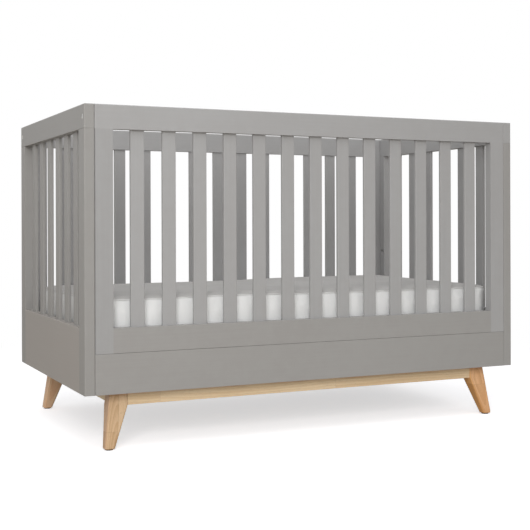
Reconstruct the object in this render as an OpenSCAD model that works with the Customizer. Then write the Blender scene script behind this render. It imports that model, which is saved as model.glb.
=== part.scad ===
// Baby crib: four slatted panels bolted into a box, a splayed wooden leg base under them, and a
// slatted mattress base that hangs on four shoulder bolts at one of three heights.
// Origin on the floor under the middle of the crib, +X to the right along its length, +Y to the
// back, +Z up. Millimetres.

/* [Sleeping space] */
// Clear length between the two end panels
inside_length = 1330; // [1310:1:1350]
// Clear width between the front panel and the back panel
inside_width = 711; // [690:1:730]

/* [Heights] */
// Height of the panels' underside above the floor
base_height = 153; // [130:1:220]
// Height of every panel
panel_height = 768; // [700:1:840]
// Height of the four top rails
top_rail_height = 65; // [55:1:80]
// Height of the fixed board under the front panel
lower_board_height = 107.5; // [95:0.5:120]
// Height of the front panel's own bottom rail
bottom_rail_height = 67; // [55:1:80]
// Height of the mattress base's top above the panels' underside at its lowest setting
base_rise = 108; // [104:1:130]

/* [End panels] */
// Thickness of the end panels
end_thick = 28; // [26:1:34]
// Width of the end panels' posts
post_width = 55; // [52:1:65]
// Number of slats in each end panel
end_slats = 6; // [5:1:7]

/* [Long panels] */
// Thickness of the front and back panels
side_thick = 27; // [25:1:30]
// Width of the stiles of the front and back panels
stile_width = 50; // [42:1:60]
// Number of slats in each long panel
side_slats = 13; // [12:1:14]

/* [Slats] */
// Width of a panel slat
slat_width = 39; // [34:1:42]
// Thickness of a panel slat
slat_thick = 10; // [7:0.5:12]
// Radius of a panel slat's long edges
slat_round = 2; // [1:0.5:3]
// Length of slat inside each rail
slat_tenon = 12; // [8:1:18]
// Distance of the slats inwards of their panel's middle
slat_inset = 2.5; // [0:0.5:3]

/* [Edges and fits] */
// Radius of the outer edges of rails and posts
outer_round = 3; // [1:0.5:5]
// Radius of the edges beside a joint line
joint_round = 1; // [0.5:0.25:2]
// Radius of the edges beside the line where a long panel meets an end panel
seam_round = 2; // [1:0.25:3]
// Gap where one panel meets another
seam = 0.5; // [0.3:0.1:0.9]
// Gap around a tenon, dowel or screw in its hole
glue_gap = 0.1; // [0.05:0.01:0.2]
// Gap around a part that slides or hangs on another
slide_gap = 0.3; // [0.2:0.05:0.5]
// Gap around a bolt's head in its recess
head_gap = 0.8; // [0.5:0.1:1]
// Extra depth of a blind hole past the end of what is in it
end_gap = 0.5; // [0.3:0.1:0.9]

/* [Leg base] */
// Distance of a leg's top behind the end panel's outer face
leg_inset_x = 80; // [70:1:90]
// Distance of a leg's top behind the long panel's outer face
leg_inset_y = 42; // [34:1:50]
// Width of a leg's top along the crib
leg_top_x = 50; // [46:1:60]
// Width of a leg's top across the crib
leg_top_y = 40; // [38:1:50]
// Distance of the foot behind the end panel's outer face
foot_inset_x = 61; // [50:1:70]
// Distance of the foot behind the long panel's outer face
foot_inset_y = 21; // [14:1:30]
// Side of the square foot of a leg
foot_size = 30; // [27:1:36]
// Radius of a leg's long corners at its top
leg_round = 5; // [2:0.5:7]
// Radius of a leg's long corners at its foot
foot_round = 9; // [5:0.5:12]
// Height of the stretchers between the legs
stretcher_height = 38; // [32:1:50]
// Thickness of the stretchers between the legs
stretcher_thick = 22; // [20:1:26]
// Length of the stretchers' tenons in the legs
stretcher_tenon = 20; // [14:1:21]
// Thickness of the stretchers' tenons
tenon_thick = 12; // [8:1:14]
// Shoulder above and below the stretchers' tenons
tenon_shoulder = 6; // [4:1:9]
// Amount by which a foot's lower edge is drawn in
sole_bevel = 3; // [1:0.5:4]
// Thickness of the glide under each foot
glide_thick = 3; // [2:0.5:6]
// Radius of the glide under each foot
glide_r = 11; // [8:0.5:12]
// Width of the bearers that join the panels to the leg base
bearer_width = 60; // [50:1:64]
// Height of the bearers
bearer_height = 38; // [30:1:40]
// Distance of a bearer's dowels from the bearer's middle
bearer_dowel_side = 15; // [10:1:19]
// Distance of the base bolts from the crib's middle
base_bolt_y = 150; // [100:5:220]
// Length of a base bolt under its head
base_bolt_length = 45; // [42:1:47]
// Depth of the pocket under a base bolt's head
base_bolt_sink = 14; // [8:1:16]
// Length of the threaded sleeve around a base bolt
base_insert_length = 20; // [14:1:24]

/* [Mattress base] */
// Height between two settings of the mattress base
height_step = 100; // [80:1:110]
// Number of settings of the mattress base
height_settings = 3; // [2:1:4]
// Clearance between the mattress base's wood and the end panels
platform_clear_x = 9; // [8.5:0.5:12]
// Clearance between the mattress base's wood and the long panels
platform_clear_y = 5.5; // [3:0.5:10]
// Height of the mattress base's rails
platform_rail_height = 30; // [24:1:34]
// Width of the mattress base's end rails
platform_end_width = 48; // [44:1:60]
// Thickness of the mattress base's long rails
platform_side_thick = 26; // [22:1:40]
// Length of the long rails' tenons in the end rails
platform_tenon = 12; // [8:1:20]
// Shoulder all round the long rails' tenons
platform_shoulder = 6; // [4:1:8]
// Number of cross slats in the mattress base
platform_slats = 11; // [9:1:12]
// Width of a cross slat
platform_slat_width = 65; // [56:1:70]
// Thickness of a cross slat
platform_slat_thick = 12; // [9:1:15]
// Thickness of the hanger brackets' steel
hanger_thick = 3; // [2:0.5:3.5]
// Width of a hanger bracket
hanger_width = 24; // [20:1:26]
// Gap between a hanger bracket and the post beside it
hanger_gap = 1; // [0.5:0.25:1.5]
// Height of a support bolt above the mattress base's top at rest
hanger_rise = 39; // [30:1:50]
// Steel of a hanger above the middle of its bolt
hanger_top = 16; // [12:1:20]
// Length of the hanger's foot under the mattress base
hanger_foot = 40; // [38:1:50]

/* [Fasteners] */
// Radius of a panel bolt's shank
bolt_r = 3; // [2.5:0.25:4]
// Length of a panel bolt under its head
bolt_length = 75; // [60:1:90]
// Radius of a panel bolt's head
bolt_head_r = 6.5; // [5.5:0.25:8]
// Thickness of a panel bolt's head
bolt_head_thick = 3; // [2:0.25:4]
// Distance of the panel bolts behind the long panel's outer face
bolt_inset = 18; // [13:0.5:18]
// Radius of a barrel nut
nut_r = 5; // [4.5:0.25:6]
// Length of a barrel nut
nut_length = 14; // [12:0.5:16]
// Length of panel bolt past the side of its barrel nut
bolt_run = 4; // [2:0.5:8]
// Depth of a panel bolt's head under the end panel's face
head_sink = 0.5; // [0:0.25:1.5]
// Radius of a panel dowel
dowel_r = 4; // [3:0.25:5]
// Length of a panel dowel
dowel_length = 30; // [24:1:40]
// Radius of a support bolt's shoulder
support_r = 4; // [3:0.25:4.5]
// Radius of a support bolt's head
support_head_r = 6; // [5.5:0.25:7]
// Thickness of a support bolt's head
support_head_thick = 3.5; // [2.5:0.25:3.5]
// Radius of the threaded sleeve around a support bolt
insert_r = 6; // [5.5:0.25:7]
// Length of the threaded sleeve around a support bolt
insert_length = 18; // [12:1:20]
// Radius of a wood screw's shank
screw_r = 2; // [1.5:0.25:2.5]
// Radius of a wood screw's head
screw_head_r = 3.8; // [3.5:0.1:4.5]
// Thickness of a wood screw's head
screw_head_thick = 2; // [1.5:0.25:2.5]
// Length of a wood screw under its head
screw_length = 18; // [14:1:20]
// Thickness of the steel corner brackets
corner_thick = 2.5; // [2:0.25:4]
// Length of a corner bracket's two arms
corner_arm = 36; // [30:1:42]
// Height of a corner bracket
corner_height = 42; // [36:1:50]
// Height of a corner bracket above the panels' underside
corner_lift = 5; // [2:1:8]
// Distance from a corner bracket's edges to its screws
corner_edge = 10; // [8:1:12]
// Depth of a cross slat's screw heads under the slat's top
screw_sink = 1; // [0.5:0.25:2]

/* [Mattress] */
// Clearance between the mattress and the end panels
mattress_clear_x = 9.5; // [9.5:0.5:14]
// Clearance between the mattress and the long panels
mattress_clear_y = 9.5; // [6:0.5:14]
// Thickness of the mattress
mattress_thick = 142; // [100:1:152]
// Radius of the mattress's corners seen from above
mattress_corner = 55; // [30:1:80]
// Radius of the mattress's top and bottom edges
mattress_edge = 4; // [2:0.5:4]
// Radius of the piping cord around the mattress
piping_r = 3.5; // [2:0.5:4]
// Distance of the piping's middle from the mattress's top and bottom
piping_inset = 4.5; // [4:0.5:8]

/* [Hidden] */
$fn = 64;

GREY_PAINT = [0.63, 0.62, 0.60];
BEECH = [0.78, 0.62, 0.43];
PINE = [0.85, 0.73, 0.55];
STEEL = [0.62, 0.63, 0.65];
NYLON = [0.16, 0.15, 0.14];
COVER = [0.92, 0.92, 0.91];

cut = 1; // how far a cutting shape runs past the face that it opens

// Planes of the box. The right end and the back are modelled; the others are mirrored.
end_x = inside_length / 2;
outer_x = end_x + end_thick;
side_y = inside_width / 2;
outer_y = side_y + side_thick;
top_z = base_height + panel_height;
rail_z = top_z - top_rail_height;
board_top_z = base_height + lower_board_height;
front_rail_z = board_top_z + seam;
slat_z = front_rail_z + bottom_rail_height;
side_end_x = end_x - seam;

// Slat pitch in each kind of panel, with equal gaps between slats, posts and stiles
end_pitch = (2 * (outer_y - post_width) + slat_width) / (end_slats + 1);
side_pitch = (2 * (side_end_x - stile_width) + slat_width) / (side_slats + 1);

// Support bolts and their sleeves, in the strip of post that shows inside the crib
support_y = side_y - (post_width - side_thick) / 2;
platform_top_z = base_height + base_rise;
support_z = platform_top_z + hanger_rise;
thread_gap = 0.05; // between a bolt's thread and the sleeve or nut that it turns in

// Mattress base
platform_x = end_x - platform_clear_x;
platform_y = side_y - platform_clear_y;
platform_rail_top_z = platform_top_z - platform_slat_thick;
platform_z = platform_rail_top_z - platform_rail_height;
hanger_x = end_x - hanger_gap - hanger_thick; // inner face of a hanger's upright
hanger_notch = support_head_r + 1; // half width of the notch that lets the bolt's head pass
hanger_notch_x = hanger_x - slide_gap - support_head_thick - 1; // inner end of that notch
hanger_screw_y = support_y - hanger_width / 4;
hanger_screw_xs = [hanger_notch_x - 8, hanger_notch_x - 21];

// Leg base
leg_x = outer_x - leg_inset_x - leg_top_x / 2;
leg_y = outer_y - leg_inset_y - leg_top_y / 2;
foot_x = outer_x - foot_inset_x - foot_size / 2;
foot_y = outer_y - foot_inset_y - foot_size / 2;
stretcher_z = base_height - stretcher_height;
stretcher_y = outer_y - leg_inset_y - stretcher_thick / 2;
base_head_z = stretcher_z + base_bolt_sink;
bearer_end_y = side_y - seam;

// Mattress
mattress_x = end_x - mattress_clear_x;
mattress_y = side_y - mattress_clear_y;
mattress_z = platform_top_z + slide_gap;

// ---------------------------------------------------------------- shared shapes and places

// Rectangle from the origin. r holds the radius of each corner, anticlockwise from the origin.
module eased_rect(w, h, r) {
  corners = [[0, 0], [w, 0], [w, h], [0, h]];
  inward = [[1, 1], [-1, 1], [-1, -1], [1, -1]];
  difference() {
    square([w, h]);
    for (i = [0:3])
      if (r[i] > 0)
        difference() {
          translate(corners[i] + inward[i] * r[i] / 2) square(r[i], center = true);
          translate(corners[i] + inward[i] * r[i]) circle(r = r[i]);
        }
  }
}

// Bars along X, Y and Z from corner `low` to corner `high`. r rounds the long edges: across the
// bar they are counted anticlockwise from the low corner, in the Y-Z, X-Z and X-Y plane.
module bar_x(low, high, r) {
  size = high - low;
  translate(low) rotate([90, 0, 90]) linear_extrude(size[0]) eased_rect(size[1], size[2], r);
}

module bar_y(low, high, r) {
  size = high - low;
  translate([low[0], high[1], low[2]]) rotate([90, 0, 0])
    linear_extrude(size[1]) eased_rect(size[0], size[2], r);
}

module bar_z(low, high, r) {
  size = high - low;
  translate(low) linear_extrude(size[2]) eased_rect(size[0], size[1], r);
}

module box(low, high) {
  translate(low) cube(high - low);
}

// Cylinder from `start` along X, Y or Z; a negative length runs the other way.
module rod_x(start, length, r) {
  translate(start) rotate([0, sign(length) * 90, 0]) cylinder(r = r, h = abs(length));
}

module rod_y(start, length, r) {
  translate(start) rotate([-sign(length) * 90, 0, 0]) cylinder(r = r, h = abs(length));
}

module rod_z(start, length, r) {
  translate(start + [0, 0, min(length, 0)]) cylinder(r = r, h = abs(length));
}

module left() {
  mirror([1, 0, 0]) children();
}

module front() {
  mirror([0, 1, 0]) children();
}

module both_ends() {
  children();
  left() children();
}

module both_sides() {
  children();
  front() children();
}

module four_corners() {
  both_ends() both_sides() children();
}

// ---------------------------------------------------------------- slats

// One upright slat centred on the Z axis, wide along X. `grow` makes the mortise for it.
module slat(grow = 0, reach = 0) {
  w = slat_width + 2 * grow;
  t = slat_thick + 2 * grow;
  z0 = slat_z - slat_tenon - reach;
  z1 = rail_z + slat_tenon + reach;
  bar_z([-w / 2, -t / 2, z0], [w / 2, t / 2, z1], [for (i = [0:3]) slat_round + grow]);
}

module side_slat_places() {
  for (i = [0:side_slats - 1])
    translate([(i - (side_slats - 1) / 2) * side_pitch, outer_y - side_thick / 2 - slat_inset, 0])
      children();
}

module end_slat_places() {
  for (i = [0:end_slats - 1])
    translate([outer_x - end_thick / 2 - slat_inset, (i - (end_slats - 1) / 2) * end_pitch, 0])
      rotate([0, 0, 90]) children();
}

module mortises() {
  slat(glue_gap, end_gap);
}

module side_panel_slats() {
  color(GREY_PAINT) side_slat_places() slat();
}

module end_panel_slats() {
  color(GREY_PAINT) end_slat_places() slat();
}

// ---------------------------------------------------------------- fasteners of the box

panel_bolt_z = rail_z + top_rail_height / 2;
panel_bolt_y = outer_y - bolt_inset;
head_recess = bolt_head_thick + head_sink;
nut_x = outer_x - head_recess - bolt_length + nut_r + bolt_run;
nut_y = panel_bolt_y - nut_length / 2;
dowel_zs = [slat_z - bottom_rail_height / 2, (slat_z + rail_z) / 2];

module panel_bolt() {
  head_x = outer_x - head_recess;
  difference() {
    union() {
      rod_x([head_x, panel_bolt_y, panel_bolt_z], bolt_head_thick, bolt_head_r);
      rod_x([head_x, panel_bolt_y, panel_bolt_z], -bolt_length, bolt_r - thread_gap);
    }
    translate([head_x + 1, panel_bolt_y, panel_bolt_z]) rotate([0, 90, 0])
      cylinder(r = bolt_r - 0.4, h = bolt_head_thick, $fn = 6);
  }
}

module panel_bolt_hole() {
  head_x = outer_x - head_recess;
  start = [head_x, panel_bolt_y, panel_bolt_z];
  rod_x(start, head_recess + cut, bolt_head_r + head_gap);
  rod_x(start, -bolt_length - end_gap, bolt_r + slide_gap);
}

module barrel_nut() {
  difference() {
    rod_y([nut_x, nut_y, panel_bolt_z], nut_length, nut_r);
    rod_x([nut_x - 2 * nut_r, panel_bolt_y, panel_bolt_z], 4 * nut_r, bolt_r);
  }
}

// Blind hole for the nut, open to the inside of the crib
module barrel_nut_hole() {
  rod_y([nut_x, nut_y + nut_length + end_gap, panel_bolt_z],
        side_y - cut - nut_y - nut_length - end_gap, nut_r + glue_gap);
}

module panel_dowel(grow = 0, reach = 0) {
  length = dowel_length + 2 * reach;
  for (z = dowel_zs)
    rod_x([end_x - seam / 2 - length / 2, outer_y - side_thick / 2, z], length, dowel_r + grow);
}

module wood_screw() {
  rod_z([0, 0, 0], screw_head_thick, screw_head_r);
  rod_z([0, 0, 0], -screw_length, screw_r);
}

module wood_screw_hole(above = 0) {
  rod_z([0, 0, above], -above - screw_length - end_gap, screw_r + glue_gap);
}

// The screws of one corner bracket, on the bracket's face, head outwards
corner_z = base_height + corner_lift;

module corner_screw_places() {
  for (z = [corner_z + corner_edge, corner_z + corner_height - corner_edge]) {
    translate([end_x - corner_thick, support_y, z]) rotate([0, -90, 0]) children();
    translate([end_x - corner_arm + corner_edge, side_y - corner_thick, z]) rotate([90, 0, 0])
      children();
  }
}

module corner_screw() {
  corner_screw_places() wood_screw();
}

module corner_screw_hole() {
  corner_screw_places() wood_screw_hole(corner_thick + cut);
}

module height_insert() {
  difference() {
    rod_x([end_x, support_y, support_z], insert_length, insert_r);
    rod_x([end_x - cut, support_y, support_z], insert_length + 2 * cut, support_r);
  }
}

module height_insert_hole() {
  rod_x([end_x - cut, support_y, support_z], insert_length + cut + end_gap, insert_r + glue_gap);
}

module at_heights() {
  for (i = [0:height_settings - 1])
    translate([0, 0, i * height_step]) children();
}

module panel_bolts() {
  color(STEEL) four_corners() panel_bolt();
}

module barrel_nuts() {
  color(STEEL) four_corners() barrel_nut();
}

module panel_dowels() {
  color(BEECH) four_corners() panel_dowel();
}

module corner_brackets() {
  arms = [[end_x - corner_thick, side_y - corner_arm], [end_x - corner_arm, side_y - corner_thick]];
  color(STEEL) four_corners() difference() {
    for (low = arms)
      box([low[0], low[1], corner_z], [end_x, side_y, corner_z + corner_height]);
    corner_screw_hole();
  }
}

module corner_screws() {
  color(STEEL) four_corners() corner_screw();
}

module height_inserts() {
  color(STEEL) four_corners() at_heights() height_insert();
}

// Shoulder bolt: the thread turns in the sleeve, the hanger rests on the shoulder
module support_bolts() {
  head_x = hanger_x - slide_gap;
  color(STEEL) four_corners() difference() {
    union() {
      rod_x([end_x, support_y, support_z], insert_length, support_r - thread_gap);
      rod_x([end_x, support_y, support_z], head_x - end_x, support_r);
      rod_x([head_x, support_y, support_z], -support_head_thick, support_head_r);
    }
    translate([head_x - support_head_thick - cut, support_y, support_z]) rotate([0, 90, 0])
      cylinder(r = support_r - 1, h = support_head_thick - 1 + cut, $fn = 6);
  }
}

// ---------------------------------------------------------------- end panels

module end_top_rail() {
  low = [end_x, -outer_y, rail_z];
  high = [outer_x, outer_y, top_z];
  edges = [joint_round, joint_round, outer_round, outer_round];
  color(GREY_PAINT) difference() {
    intersection() {
      bar_x(low, high, edges);
      bar_y(low, high, edges);
      bar_z(low, high, [seam_round, outer_round, outer_round, seam_round]);
    }
    end_slat_places() mortises();
    both_sides() panel_bolt_hole();
  }
}

// Back post of the right end, eased under the top rail
module end_post() {
  low = [end_x, outer_y - post_width, base_height];
  high = [outer_x, outer_y, rail_z];
  color(GREY_PAINT) difference() {
    intersection() {
      bar_x(low, high, [0, 0, joint_round, 0]);
      bar_y(low, high, [0, 0, joint_round, 0]);
      bar_z(low, high, [joint_round, joint_round, outer_round, seam_round]);
    }
    panel_dowel(glue_gap, end_gap);
    at_heights() height_insert_hole();
    corner_screw_hole();
  }
}

module end_bottom_rail() {
  edges = [0, 0, joint_round, joint_round];
  color(GREY_PAINT) difference() {
    bar_y([end_x, -outer_y + post_width, base_height], [outer_x, outer_y - post_width, slat_z], edges);
    end_slat_places() mortises();
    both_sides() corner_screw_hole();
  }
}

// ---------------------------------------------------------------- front and back panels

stile_in_x = side_end_x - stile_width;

// Top rail of a long panel, on top of the stiles
module side_top_rail() {
  low = [-side_end_x, side_y, rail_z];
  high = [side_end_x, outer_y, top_z];
  color(GREY_PAINT) difference() {
    intersection() {
      bar_x(low, high, [0, 0, outer_round, outer_round]);
      bar_z(low, high, [joint_round, joint_round, seam_round, seam_round]);
    }
    side_slat_places() mortises();
    both_ends() {
      panel_bolt_hole();
      barrel_nut_hole();
    }
  }
}

// Stile at the right end of the back panel, from z0 up to the top rail
module side_stile(z0) {
  edges = [0, joint_round, seam_round, 0];
  color(GREY_PAINT) difference() {
    bar_z([stile_in_x, side_y, z0], [side_end_x, outer_y, rail_z], edges);
    panel_dowel(glue_gap, end_gap);
    corner_screw_hole();
  }
}

// Rail under the slats of a long panel, from z0 up, between the stiles
module side_low_rail(z0, edge) {
  edges = [edge, edge, joint_round, joint_round];
  color(GREY_PAINT) difference() {
    bar_x([-stile_in_x, side_y, z0], [stile_in_x, outer_y, slat_z], edges);
    side_slat_places() mortises();
    both_ends() bearer_dowel(glue_gap, end_gap);
  }
}

// Fixed board under the front panel, modelled at the back
module lower_board() {
  low = [-side_end_x, side_y, base_height];
  high = [side_end_x, outer_y, board_top_z];
  color(GREY_PAINT) difference() {
    intersection() {
      bar_x(low, high, [0, 0, joint_round, joint_round]);
      bar_z(low, high, [0, 0, seam_round, seam_round]);
    }
    both_ends() {
      bearer_dowel(glue_gap, end_gap);
      corner_screw_hole();
    }
  }
}

// ---------------------------------------------------------------- leg base

module bearer_dowel(grow = 0, reach = 0) {
  length = dowel_length + 2 * reach;
  for (side = [-1, 1])
    rod_y([leg_x + side * bearer_dowel_side, side_y - seam / 2 - length / 2,
           base_height + bearer_height / 2], length, dowel_r + grow);
}

module bearer_dowels() {
  color(BEECH) four_corners() bearer_dowel();
}

module bearer() {
  low = [leg_x - bearer_width / 2, -bearer_end_y, base_height];
  high = [leg_x + bearer_width / 2, bearer_end_y, base_height + bearer_height];
  color(GREY_PAINT) difference() {
    bar_y(low, high, [0, 0, joint_round, joint_round]);
    both_sides() {
      bearer_dowel(glue_gap, end_gap);
      base_bolt_hole();
      rod_z([leg_x, base_bolt_y, base_height - cut], base_insert_length + cut + end_gap,
            insert_r + glue_gap);
    }
  }
}

module base_bolt() {
  rod_z([leg_x, base_bolt_y, base_head_z], base_bolt_length, bolt_r - thread_gap);
  rod_z([leg_x, base_bolt_y, base_head_z], -bolt_head_thick, bolt_head_r);
}

module base_bolt_hole() {
  rod_z([leg_x, base_bolt_y, base_head_z], base_bolt_length + end_gap, bolt_r + slide_gap);
  rod_z([leg_x, base_bolt_y, base_head_z], -base_bolt_sink - cut, bolt_head_r + head_gap);
}

module base_bolts() {
  color(STEEL) four_corners() base_bolt();
}

module base_inserts() {
  color(STEEL) four_corners() difference() {
    rod_z([leg_x, base_bolt_y, base_height], base_insert_length, insert_r);
    rod_z([leg_x, base_bolt_y, base_height - cut], base_insert_length + 2 * cut, bolt_r);
  }
}

// A level slice of a leg: a rectangle with rounded corners, as four short cylinders for a hull
module leg_slice(x0, x1, y0, y1, z, r) {
  for (x = [x0 + r, x1 - r], y = [y0 + r, y1 - r])
    translate([x, y, z]) cylinder(r = r, h = 0.01, $fn = 32);
}

// Back right leg: upright inside over the height of the stretchers, then splayed to the foot
module leg() {
  top_x1 = outer_x - leg_inset_x;
  top_y1 = outer_y - leg_inset_y;
  foot_x1 = outer_x - foot_inset_x;
  foot_y1 = outer_y - foot_inset_y;
  part = stretcher_height / (base_height - glide_thick);
  mid_x1 = top_x1 + (foot_x1 - top_x1) * part;
  mid_y1 = top_y1 + (foot_y1 - top_y1) * part;
  color(BEECH) difference() {
    hull() {
      leg_slice(top_x1 - leg_top_x, top_x1, top_y1 - leg_top_y, top_y1, base_height - 0.01, leg_round);
      leg_slice(top_x1 - leg_top_x, mid_x1, top_y1 - leg_top_y, mid_y1, stretcher_z, leg_round);
      leg_slice(foot_x1 - foot_size, foot_x1, foot_y1 - foot_size, foot_y1,
                glide_thick + sole_bevel, foot_round);
      leg_slice(foot_x1 - foot_size + sole_bevel, foot_x1 - sole_bevel,
                foot_y1 - foot_size + sole_bevel, foot_y1 - sole_bevel,
                glide_thick, foot_round - sole_bevel);
    }
    long_tenon(glue_gap, end_gap);
    cross_tenon(glue_gap, end_gap);
  }
}

// Tenon of the long stretcher at the back right leg, and the mortise for it
module long_tenon(grow = 0, reach = 0) {
  shoulder_x = leg_x - leg_top_x / 2;
  box([shoulder_x - cut, stretcher_y - tenon_thick / 2 - grow, stretcher_z + tenon_shoulder - grow],
      [shoulder_x + stretcher_tenon + reach, stretcher_y + tenon_thick / 2 + grow,
       base_height - tenon_shoulder + grow]);
}

// Tenon of the cross stretcher at the back right leg, and the mortise for it
module cross_tenon(grow = 0, reach = 0) {
  shoulder_y = leg_y - leg_top_y / 2;
  box([leg_x - tenon_thick / 2 - grow, shoulder_y - cut, stretcher_z + tenon_shoulder - grow],
      [leg_x + tenon_thick / 2 + grow, shoulder_y + stretcher_tenon + reach,
       base_height - tenon_shoulder + grow]);
}

module long_stretcher() {
  shoulder_x = leg_x - leg_top_x / 2;
  low = [-shoulder_x, stretcher_y - stretcher_thick / 2, stretcher_z];
  high = [shoulder_x, stretcher_y + stretcher_thick / 2, base_height];
  color(BEECH) {
    bar_x(low, high, [joint_round, joint_round, joint_round, joint_round]);
    both_ends() long_tenon();
  }
}

module cross_stretcher() {
  shoulder_y = leg_y - leg_top_y / 2;
  low = [leg_x - stretcher_thick / 2, -shoulder_y, stretcher_z];
  high = [leg_x + stretcher_thick / 2, shoulder_y, base_height];
  color(BEECH) difference() {
    union() {
      bar_y(low, high, [joint_round, joint_round, joint_round, joint_round]);
      both_sides() cross_tenon();
    }
    both_sides() base_bolt_hole();
  }
}

module foot_glides() {
  color(NYLON) four_corners() rod_z([foot_x, foot_y, 0], glide_thick, glide_r);
}

// ---------------------------------------------------------------- mattress base

module platform_tenon(grow = 0, reach = 0) {
  root_x = platform_x - platform_end_width;
  mid_y = platform_y - platform_side_thick / 2;
  mid_z = platform_z + platform_rail_height / 2;
  half_y = platform_side_thick / 2 - platform_shoulder + grow;
  half_z = platform_rail_height / 2 - platform_shoulder + grow;
  box([root_x - cut, mid_y - half_y, mid_z - half_z],
      [root_x + platform_tenon + reach, mid_y + half_y, mid_z + half_z]);
}

// Back rail of the mattress base
module platform_long_rail() {
  root_x = platform_x - platform_end_width;
  color(PINE) difference() {
    union() {
      box([-root_x, platform_y - platform_side_thick, platform_z],
          [root_x, platform_y, platform_rail_top_z]);
      both_ends() platform_tenon();
    }
    platform_screw_places() wood_screw_hole();
  }
}

// Right end rail of the mattress base
module platform_end_rail() {
  color(PINE) difference() {
    box([platform_x - platform_end_width, -platform_y, platform_z],
        [platform_x, platform_y, platform_rail_top_z]);
    both_sides() {
      platform_tenon(glue_gap, end_gap);
      platform_screw_places() wood_screw_hole();
      hanger_screw_places() wood_screw_hole();
    }
  }
}

platform_slat_pitch = (2 * platform_x - platform_slat_width) / (platform_slats - 1);
platform_screw_sink = screw_head_thick + screw_sink;

module platform_slat_places() {
  for (i = [0:platform_slats - 1])
    translate([(i - (platform_slats - 1) / 2) * platform_slat_pitch, 0, 0]) children();
}

// Screws at the back end of every cross slat
module platform_screw_places() {
  platform_slat_places()
    translate([0, platform_y - platform_side_thick / 2, platform_top_z - platform_screw_sink])
      children();
}

module platform_slat() {
  low = [-platform_slat_width / 2, -platform_y, platform_rail_top_z];
  high = [platform_slat_width / 2, platform_y, platform_top_z];
  bar_y(low, high, [0, 0, slat_round, slat_round]);
}

module platform_slats_all() {
  color(PINE) difference() {
    platform_slat_places() platform_slat();
    both_sides() platform_screw_places() {
      wood_screw_hole();
      rod_z([0, 0, 0], platform_screw_sink + cut, screw_head_r + slide_gap);
    }
  }
}

module platform_screws() {
  color(STEEL) both_sides() platform_screw_places() wood_screw();
}

// Screws that hold the back right hanger's foot under the mattress base, head down
module hanger_screw_places() {
  for (x = hanger_screw_xs)
    translate([x, hanger_screw_y, platform_z - hanger_thick]) rotate([180, 0, 0]) children();
}

// Steel angle at the back right corner. Its slot is open below, so the base lifts off the bolts.
module hanger() {
  y0 = support_y - hanger_width / 2;
  y1 = support_y + hanger_width / 2;
  foot_z = platform_z - hanger_thick;
  slot_r = support_r + slide_gap;
  color(STEEL) difference() {
    union() {
      box([hanger_x, y0, foot_z], [hanger_x + hanger_thick, y1, support_z + hanger_top]);
      box([hanger_x - hanger_foot, y0, foot_z], [hanger_x + hanger_thick, y1, platform_z]);
    }
    rod_x([hanger_x - cut, support_y, support_z], hanger_thick + 2 * cut, slot_r);
    box([hanger_x - cut, support_y - slot_r, foot_z - cut],
        [hanger_x + hanger_thick + cut, support_y + slot_r, support_z]);
    box([hanger_notch_x, support_y - hanger_notch, foot_z - cut],
        [hanger_x + hanger_thick + cut, support_y + hanger_notch, platform_z + cut]);
    hanger_screw_places() wood_screw_hole(cut);
  }
}

module hanger_screws() {
  color(STEEL) four_corners() hanger_screw_places() wood_screw();
}

// ---------------------------------------------------------------- mattress

module mattress() {
  x = mattress_x - 2 * piping_r;
  y = mattress_y - 2 * piping_r;
  low = [-x, -y, mattress_z];
  high = [x, y, mattress_z + mattress_thick];
  edge = [for (i = [0:3]) mattress_edge];
  corner = [for (i = [0:3]) mattress_corner];
  color(COVER) intersection() {
    bar_z(low, high, corner);
    bar_x(low, high, edge);
    bar_y(low, high, edge);
  }
}

// One closed cord around the mattress, just outside its side wall
module piping_loop() {
  x = mattress_x - 2 * piping_r;
  y = mattress_y - 2 * piping_r;
  r = mattress_corner + piping_r + glue_gap;
  four_corners() {
    translate([x - mattress_corner, y - mattress_corner, 0])
      rotate_extrude(angle = 90) translate([r, 0]) circle(r = piping_r - glue_gap, $fn = 24);
    rod_x([0, y - mattress_corner + r, 0], x - mattress_corner, piping_r - glue_gap);
    rod_y([x - mattress_corner + r, 0, 0], y - mattress_corner, piping_r - glue_gap);
  }
}

module mattress_piping() {
  color(COVER)
    for (z = [mattress_z + piping_inset, mattress_z + mattress_thick - piping_inset])
      translate([0, 0, z]) piping_loop();
}

// ---------------------------------------------------------------- nodes

left() end_top_rail();  // left_end_top_rail
left() front() end_post();  // left_end_front_post
left() end_post();  // left_end_back_post
left() end_bottom_rail();  // left_end_bottom_rail
left() end_panel_slats();  // left_end_slats
end_top_rail();  // right_end_top_rail
front() end_post();  // right_end_front_post
end_post();  // right_end_back_post
end_bottom_rail();  // right_end_bottom_rail
end_panel_slats();  // right_end_slats
front() side_top_rail();  // front_top_rail
left() front() side_stile(front_rail_z);  // front_left_stile
front() side_stile(front_rail_z);  // front_right_stile
front() side_low_rail(front_rail_z, joint_round);  // front_bottom_rail
front() side_panel_slats();  // front_slats
front() lower_board();  // front_lower_board
side_top_rail();  // back_top_rail
left() side_stile(base_height);  // back_left_stile
side_stile(base_height);  // back_right_stile
side_low_rail(base_height, 0);  // back_bottom_rail
side_panel_slats();  // back_slats
panel_bolts();
barrel_nuts();
panel_dowels();
corner_brackets();
corner_screws();
height_inserts();
support_bolts();
left() front() leg();  // front_left_leg
front() leg();  // front_right_leg
left() leg();  // back_left_leg
leg();  // back_right_leg
front() long_stretcher();  // front_stretcher
long_stretcher();  // back_stretcher
left() cross_stretcher();  // left_stretcher
cross_stretcher();  // right_stretcher
foot_glides();
left() bearer();  // left_bearer
bearer();  // right_bearer
bearer_dowels();
base_bolts();
base_inserts();
front() platform_long_rail();  // platform_front_rail
platform_long_rail();  // platform_back_rail
left() platform_end_rail();  // platform_left_rail
platform_end_rail();  // platform_right_rail
platform_slats_all();  // platform_slats
platform_screws();
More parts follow.
